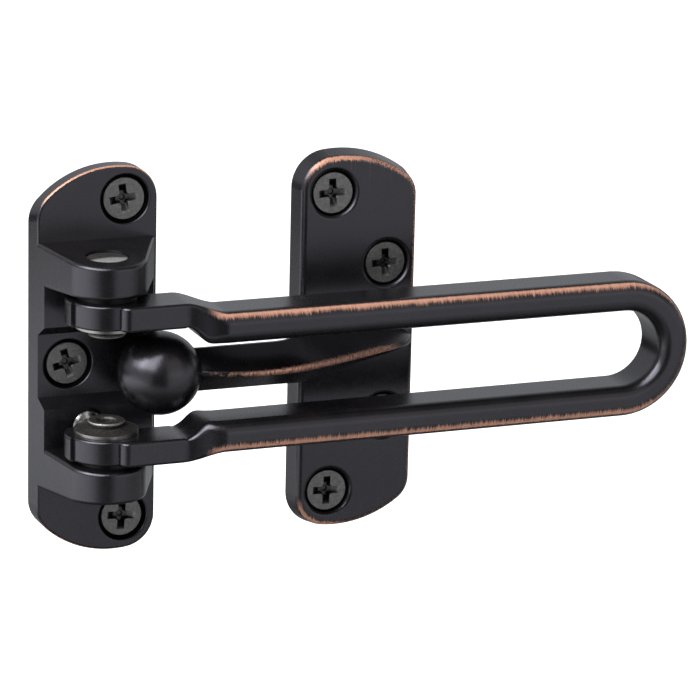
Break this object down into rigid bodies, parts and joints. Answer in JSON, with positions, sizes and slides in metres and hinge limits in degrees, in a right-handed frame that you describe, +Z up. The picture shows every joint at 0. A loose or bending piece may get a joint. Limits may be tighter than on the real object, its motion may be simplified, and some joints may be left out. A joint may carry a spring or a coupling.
{
  "type": "swing-bar door guard",
  "caption": "Surface-fixed door guard: a long looped bar hinged between the ears of one wall plate swings over a ball on an arm from a second plate and holds a door ajar.",
  "frame": {"origin": "on the wall plane, midway between the two end screws of the hinge plate", "axes": "+X along the wall from the hinge plate to the catch plate, +Y into the wall, +Z up along the plates"},
  "size_m": [0.1263, 0.0421, 0.0754],
  "materials": {
    "dark_bronze": "satin, worn to copper on its edges",
    "screw_steel": "dulled gunmetal",
    "rivet_steel": "polished on the head",
    "washer_steel": "blackened, bright rim",
    "plunger_steel": "polished",
    "spring_steel": "plain"
  },
  "bodies": {
    "fixed": {"base_plate": "dark_bronze", "ball_catch": "dark_bronze", "base_screws": "screw_steel", "catch_screws": "screw_steel", "upper_hinge_rivet": "rivet_steel", "lower_hinge_rivet": "rivet_steel", "upper_dished_washer": "washer_steel", "lower_dished_washer": "washer_steel", "upper_spacer_washer": "washer_steel", "lower_spacer_washer": "washer_steel", "upper_detent_spring": "spring_steel", "lower_detent_spring": "spring_steel"},
    "bar": {"swing_bar": "dark_bronze"},
    "upper_detent": {"upper_detent_plunger": "plunger_steel"},
    "lower_detent": {"lower_detent_plunger": "plunger_steel"}
  },
  "joints": [
    {"name": "bar_swing", "type": "hinge", "parent": "fixed", "child": "bar", "pos_m": [-0.0069, -0.0142, 0], "axis": [0, 0, 1], "range_deg": [-160, 0]},
    {"name": "upper_detent_press", "type": "slide", "parent": "fixed", "child": "upper_detent", "axis": [0, 1, 0], "range_m": [0, 0.001], "stiffness_N_per_m": 500, "deforming": ["upper_detent_spring"]},
    {"name": "lower_detent_press", "type": "slide", "parent": "fixed", "child": "lower_detent", "axis": [0, 1, 0], "range_m": [0, 0.001], "stiffness_N_per_m": 500, "deforming": ["lower_detent_spring"]}
  ]
}
